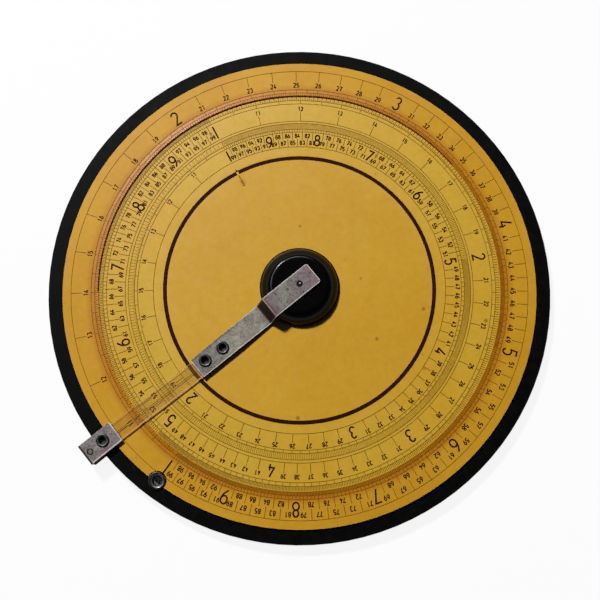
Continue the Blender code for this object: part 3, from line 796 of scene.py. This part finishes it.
def brass():
    shader = Shader("bush_brass", metallic=1.0)
    tarnish = shader.ramp(shader.noise(500, 5), (0.35, (0.55, 0.38, 0.14)), (0.7, (0.36, 0.24, 0.09)))
    shader.set("Base Color", tarnish)
    shader.set("Roughness", shader.ramp(shader.noise(800, 4), (0.3, 0.25), (0.7, 0.45)))
    return shader.material


def blade_side(shader, along, near, far):
    """A side of the blade at each place along it, in metres from the line through the axis."""
    return shader.between(along, BLADE_NEAR, BLADE_FAR, near * MM, far * MM)


def clear_blade():
    """Clear celluloid, faintly brown with age, pale sawn edges, the right one also a painted glow."""
    shader = Shader("blade_celluloid", ior=1.49, specular_ior_level=0.3)
    along, side = shader.along_and_side()
    to_right = shader.maths("SUBTRACT", blade_side(shader, along, BLADE_NEAR_RIGHT, BLADE_FAR_RIGHT), side)
    to_left = shader.maths("ADD", blade_side(shader, along, BLADE_NEAR_LEFT, BLADE_FAR_LEFT), side)
    # the right edge, away from the lamp, is a painted glow of caught light; the left is the plain pale edge
    right_edge_glow = shader.between(to_right, BLADE_EDGE * 1.3, BLADE_EDGE * 0.9)
    left_edge = shader.between(to_left, BLADE_EDGE * 0.8, BLADE_EDGE * 0.5)
    tone = shader.ramp(shader.noise(60, 3), (0.35, (0.42, 0.20, 0.06)), (0.7, (0.50, 0.26, 0.08)))
    edges = shader.larger(right_edge_glow, left_edge)
    shader.set("Base Color", shader.mix(edges, tone, (0.66, 0.36, 0.14)))
    shader.set("Roughness", shader.ramp(shader.noise(300, 4), (0.3, 0.10), (0.7, 0.24)))
    cloudy = shader.ramp(shader.noise(180, 4), (0.35, 0.07), (0.7, 0.13))
    solid = shader.larger(right_edge_glow, shader.times(left_edge, 0.45))
    shader.set("Alpha", shader.larger(cloudy, shader.times(solid, 0.85)))
    return shader.material


# Studio
def make_camera():
    forward = (CAMERA_AIM - CAMERA_PLACE).normalized()
    level = forward.cross(Vector((0, 0, 1))).normalized()
    upward = level.cross(forward)
    roll = math.radians(CAMERA_ROLL)
    right = level * math.cos(roll) + upward * math.sin(roll)
    up = upward * math.cos(roll) - level * math.sin(roll)
    turn = Matrix((right, up, -forward)).transposed().to_4x4()
    data = bpy.data.cameras.new("camera")
    data.sensor_width = CAMERA_SENSOR
    data.lens = CAMERA_LENS
    data.clip_start = 0.01
    data.clip_end = 20.0
    camera = bpy.data.objects.new("camera", data)
    camera.matrix_world = Matrix.Translation(CAMERA_PLACE) @ turn
    bpy.context.scene.collection.objects.link(camera)
    bpy.context.scene.camera = camera


def area_light(name, clock, size, power):
    """A round lamp that looks at the middle of the rule."""
    data = bpy.data.lights.new(name, "AREA")
    data.shape = "DISK"
    data.size = size
    data.energy = power
    light = bpy.data.objects.new(name, data)
    out = clock_directions(clock)[0]
    rise = math.radians(KEY_ELEVATION)
    light.location = Vector((out.x * math.cos(rise), out.y * math.cos(rise), math.sin(rise))) * KEY_DISTANCE
    light.rotation_euler = light.location.to_track_quat("Z", "Y").to_euler()
    bpy.context.scene.collection.objects.link(light)
    return light


def joined(tree, operation, first, second):
    """The result of a math node on two sockets."""
    made = tree.nodes.new("ShaderNodeMath")
    made.operation = operation
    tree.links.new(first, made.inputs[0])
    tree.links.new(second, made.inputs[1])
    return made.outputs[0]


def fading(tree, value, begins, full, last=1.0):
    """Rises from nothing to last as a value goes from begins to full."""
    made = tree.nodes.new("ShaderNodeMapRange")
    made.inputs["From Min"].default_value = begins
    made.inputs["From Max"].default_value = full
    made.inputs["To Max"].default_value = last
    tree.links.new(value, made.inputs["Value"])
    return made.outputs["Result"]


def make_world():
    """A sky pale round the horizon and dim overhead, so the polished black stays black from above.

    The camera sees it white, and so do metal and the clear blade near the horizon.
    """
    world = bpy.data.worlds.new("studio")
    bpy.context.scene.world = world
    world.use_nodes = True
    tree = world.node_tree
    background = tree.nodes["Background"]
    place = tree.nodes.new("ShaderNodeTexCoord")
    split = tree.nodes.new("ShaderNodeSeparateXYZ")
    ramp = tree.nodes.new("ShaderNodeValToRGB")
    tree.links.new(place.outputs["Generated"], split.inputs[0])
    tree.links.new(split.outputs["Z"], ramp.inputs["Fac"])
    tree.links.new(ramp.outputs["Color"], background.inputs["Color"])
    low, high = ramp.color_ramp.elements
    low.position, high.position = SKY_HEIGHTS
    low.color = (1.0, 1.0, 1.0, 1.0)
    high.color = (SKY_DIM, SKY_DIM, SKY_DIM, 1.0)
    background.inputs["Strength"].default_value = SKY_STRENGTH
    white = tree.nodes.new("ShaderNodeBackground")
    white.inputs["Color"].default_value = (1.0, 1.0, 1.0, 1.0)
    rays = tree.nodes.new("ShaderNodeLightPath").outputs
    mirrored = joined(tree, "MAXIMUM", rays["Is Glossy Ray"], rays["Is Transmission Ray"])
    mirrored = joined(tree, "MULTIPLY", mirrored, fading(tree, split.outputs["Z"], *HORIZON))
    mix = tree.nodes.new("ShaderNodeMixShader")
    tree.links.new(joined(tree, "MAXIMUM", rays["Is Camera Ray"], mirrored), mix.inputs[0])
    tree.links.new(background.outputs[0], mix.inputs[1])
    tree.links.new(white.outputs[0], mix.inputs[2])
    tree.links.new(mix.outputs[0], tree.nodes["World Output"].inputs["Surface"])


def make_floor():
    """A pale floor, white to the camera, to metal and to the clear blade, that keeps the shadow.

    Under the board, and close to it in reflections, it is a plain lit floor, dark where no light gets.
    """
    material = bpy.data.materials.new("floor_pale")
    material.use_nodes = True
    tree = material.node_tree
    lit = tree.nodes["Principled BSDF"]
    lit.inputs["Base Color"].default_value = (FLOOR_TONE, FLOOR_TONE, FLOOR_TONE, 1.0)
    lit.inputs["Roughness"].default_value = 0.9
    lit.inputs["Specular IOR Level"].default_value = 0.0
    white = tree.nodes.new("ShaderNodeEmission")
    rays = tree.nodes.new("ShaderNodeLightPath").outputs
    place = tree.nodes.new("ShaderNodeTexCoord")
    length = tree.nodes.new("ShaderNodeVectorMath")
    length.operation = "LENGTH"
    tree.links.new(place.outputs["Object"], length.inputs[0])
    seen_glow, mirrored_glow = (
        fading(tree, length.outputs["Value"], begins * MM, full * MM, FLOOR_GLOW)
        for begins, full in (SEEN_GLOW, MIRRORED_GLOW)
    )
    seen = joined(tree, "MULTIPLY", rays["Is Camera Ray"], seen_glow)
    mirrored = joined(tree, "MAXIMUM", rays["Is Glossy Ray"], rays["Is Transmission Ray"])
    mirrored = joined(tree, "MULTIPLY", mirrored, mirrored_glow)
    mix = tree.nodes.new("ShaderNodeMixShader")
    tree.links.new(joined(tree, "MAXIMUM", seen, mirrored), mix.inputs[0])
    tree.links.new(lit.outputs[0], mix.inputs[1])
    tree.links.new(white.outputs[0], mix.inputs[2])
    tree.links.new(mix.outputs[0], tree.nodes["Material Output"].inputs["Surface"])
    mesh = bpy.data.meshes.new("floor")
    signs = ((-1, -1), (1, -1), (1, 1), (-1, 1))
    mesh.from_pydata([(x * FLOOR_REACH, y * FLOOR_REACH, 0) for x, y in signs], [], [range(4)])
    mesh.materials.append(material)
    floor = bpy.data.objects.new("floor", mesh)
    bpy.context.scene.collection.objects.link(floor)


# Pieces of this script's own, and bevels on the CAD pieces
def rounded(points, times=2):
    """Corner cutting that keeps both ends."""
    for _ in range(times):
        cut = [points[0]]
        for here, there in zip(points, points[1:]):
            cut.append(tuple(a * 0.75 + b * 0.25 for a, b in zip(here, there)))
            cut.append(tuple(a * 0.25 + b * 0.75 for a, b in zip(here, there)))
        points = cut + [points[-1]]
    return points


def turned(profile, steps, base=0.0):
    """Points and faces of a closed profile of (radius, height) turned about an upright axis."""
    points, faces = [], []
    count = len(profile)
    for step in range(steps):
        out = clock_directions(360 * step / steps)[0]
        for radius, height in profile:
            points.append((out.x * radius * MM, out.y * radius * MM, base + height * MM))
    for step in range(steps):
        here, there = step * count, (step + 1) % steps * count
        for index in range(count):
            after = (index + 1) % count
            faces.append((here + index, here + after, there + after, there + index))
    return points, faces


def eyelet_piece(node, body, sizes, material, shade_plugged):
    """A rolled eyelet round its own axis; a plugged one has a dark plug in its bore's foot, as painted
    shade.
    """
    bore, flange, head, barrel, foot = sizes
    low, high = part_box(node)
    middle = (low + high) / 2
    top = (high.z - low.z) / MM
    seat = top - head
    crest = bore + (flange - bore) * 0.58
    profile = rounded([
        (flange, seat), (flange - 0.03, seat + head * 0.5), (flange - 0.14, seat + head * 0.78),
        (flange - 0.32, seat + head * 0.96), (crest, top), (crest - 0.22, top - head * 0.09),
        (bore + 0.26, top - head * 0.46), (bore + 0.06, top - head * 0.9), (bore, seat - head * 0.4),
    ], 1)
    # a dark plug in the bore's foot: painted shade where the disc below would lie in shadow
    if shade_plugged:
        profile += [(bore, 0.25), (0.5 * bore, 0.15), (0.02, 0.15), (0.02, 0.0)]
    else:
        profile.append((bore, 0.0))
    profile += [(flange - 0.1, 0.0), (flange, foot * 0.5), (flange - 0.1, foot), (barrel, foot)]
    profile.append((barrel, seat))
    points, faces = turned(profile, EYELET_STEPS)
    place = (middle.x, middle.y, low.z)
    piece = new_piece(f"{node}_rolled", points, faces, material, body, place, EYELET_SHARP)
    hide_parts(node)


def knob_piece(material):
    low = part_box("knob")[0]
    profile = rounded(list(KNOB_OUTLINE)) + list(KNOB_POCKET)
    points, faces = turned(profile, KNOB_STEPS, low.z)
    piece = new_piece("knob_moulding", points, faces, material, "disc", sharp=KNOB_SHARP)
    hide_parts("knob")


def hairline_piece(material):
    """A dark line scribed along the blade, on its underside."""
    out, side = cursor_directions()
    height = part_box("cursor_blade")[0].z - HAIRLINE_DROP * MM
    corners = []
    for along, middle in HAIRLINE_ENDS:
        for across in (-HAIRLINE_HALF_WIDTH, HAIRLINE_HALF_WIDTH):
            spot = out * along + side * (middle + across)
            corners.append((spot.x * MM, spot.y * MM, height))
    new_piece("cursor_hairline", corners, [(0, 1, 3, 2)], material, "cursor")


def softened(obj, width):
    """Rounds the edges of a CAD piece."""
    weld = obj.modifiers.new("weld", "WELD")
    weld.merge_threshold = WELD_DISTANCE * MM
    bevel = obj.modifiers.new("edges", "BEVEL")
    bevel.width = width * MM
    bevel.segments = 2
    bevel.limit_method = "ANGLE"
    bevel.angle_limit = math.radians(BEVEL_ANGLE)
    obj.modifiers.new("normals", "WEIGHTED_NORMAL")


def lip_line(material):
    """Painted shadow: a dark red line along the plate's lip on its lit side, where the lip shades the disc.
    """
    edge = Print(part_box("scale_plate")[1].z + PRINT_LIFT * MM)
    edge.arc(LIP_SHADOW_RADIUS, LIP_SHADOW_WIDTH, *LIP_SHADOW_SPAN)
    edge.made("lip_painted_shadow", material, "base", "celluloid_amber")


def printed_scales():
    plate_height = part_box("scale_plate")[1].z - (LIP_RISE - PRINT_LIFT) * MM
    disc_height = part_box("rotating_disc")[1].z + PRINT_LIFT * MM
    line_ink = ink("line_ink", (0.135, 0.074, 0.009))
    brown_ink = ink("brown_ink", (0.165, 0.066, 0.004))
    number_ink = ink("number_ink", (0.022, 0.0045, 0.0004))
    on_plate = (plate_height, flare_rise)
    on_disc = (disc_height, flat, DISC_SCALE_SHIFT)
    further_in = (disc_height, flat, RECIPROCAL_SCALE_SHIFT)
    sheets = (
        ("plate_scale", PLATE_SCALE, on_plate, brown_ink, "base", "celluloid_amber"),
        ("disc_scale", DISC_SCALE, on_disc, line_ink, "disc", "celluloid_pale"),
        ("reciprocal_scale", RECIPROCAL_SCALE, further_in, line_ink, "disc", "celluloid_pale"),
    )
    for name, scale, carrier, tick_ink, body, slot in sheets:
        lines, numbers = Print(*carrier), Print(*carrier)
        fine_ticks(lines, scale)
        medium_ticks(lines, scale)
        number_ticks(lines, numbers, scale)
        if scale is RECIPROCAL_SCALE:
            lines.arc(scale["fine"][1], CIRCLE_LINE)
        lines.made(f"{name}_lines", tick_ink, body, slot)
        numbers.made(f"{name}_numbers", number_ink, body, slot)
    ring, faded = Print(disc_height), Print(disc_height)
    ring.arc(RING_RADIUS, RING_WIDTH, DISC_ONE + RING_BREAK, DISC_ONE + 360 - RING_BREAK)
    index_mark(ring, faded)
    ring.made("index_ring", number_ink, "disc", "celluloid_pale")
    faded.made("index_shaft", ink("faded_ink", (0.16, 0.085, 0.008)), "disc", "celluloid_pale")
    hairline_piece(ink("hairline_ink", (0.09, 0.03, 0.006)))
    # painted shadow along the lip's lit side
    lip_line(ink("lip_shadow_ink", (0.075, 0.008, 0.008)))


def main():
    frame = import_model()
    nodes = frame["nodes"]

    make_camera()
    area_light("key", KEY_CLOCK, KEY_SIZE, KEY_POWER)
    for clock in GLINT_CLOCKS:
        area_light(f"glint_{clock:.0f}", clock, GLINT_SIZE, GLINT_POWER).visible_diffuse = False
    make_world()
    make_floor()

    cursor_turn = math.radians(CURSOR_CLOCK - 90)
    small_enamel = enamel("eyelet_enamel", *SMALL_RUBBED)
    large_enamel = enamel("hanging_enamel", *HANGING_RUBBED)
    plain_steel = worn_steel("plain_steel", (0.30, 0.28, 0.27), 0.0)
    # painted shade: a near-black copy of the steel for the clip's lower plate and spacer, which lie in shade
    shaded_steel = worn_steel("shaded_steel", (0.030, 0.027, 0.026), cursor_turn, 0.5, (0.55, 0.70))
    moulding = moulding_black()
    finishes = {
        "felt_backing": felt("backing_felt", (0.020, 0.020, 0.021)),
        "friction_washer": felt("washer_felt", (0.18, 0.17, 0.16)),
        "base_board": board_black(),
        "scale_plate": celluloid(
            "plate_celluloid", (0.590, 0.312, 0.018), (0.550, 0.272, 0.013), 0.14,
            grime=(106.5, 103.0, (0.80, 0.57, 0.38)),
        ),
        "rotating_disc": celluloid(
            "disc_celluloid", (0.602, 0.334, 0.021), (0.570, 0.306, 0.016), 0.24,
            rim=(66.5, 70.0, (0.600, 0.366, 0.030)),
        ),
        "knob": moulding,
        "hub_bush": brass(),
        "cursor_arm": arm_steel(cursor_turn),
        "cursor_blade": clear_blade(),
        "clip_top_plate": jaw_steel(cursor_turn),
        "clip_lower_plate": shaded_steel,
        "clip_spacer": shaded_steel,
        "clip_rivet": worn_steel("rivet_steel", (0.16, 0.12, 0.10), 0.0, 0.9),
        "arm_eyelet_inner": small_enamel,
        "arm_eyelet_outer": small_enamel,
        "clip_eyelet": small_enamel,
        "hanging_eyelet": large_enamel,
        "centre_pin": pin_steel(),
    }
    for name, node in nodes.items():
        for slot in node.material_slots:
            slot.material = finishes.get(name, plain_steel)
    softened(nodes["cursor_arm"], ARM_BEVEL)
    for name in ("clip_top_plate", "clip_lower_plate", "clip_spacer"):
        softened(nodes[name], CLIP_BEVEL)

    knob_piece(moulding)
    for name in ("arm_eyelet_inner", "arm_eyelet_outer", "clip_eyelet"):
        eyelet_piece(name, "cursor", SMALL_EYELET, small_enamel, True)
    eyelet_piece("hanging_eyelet", "base", HANGING_EYELET, large_enamel, False)
    printed_scales()

    bpy.context.scene.view_settings.view_transform = "Standard"


main()
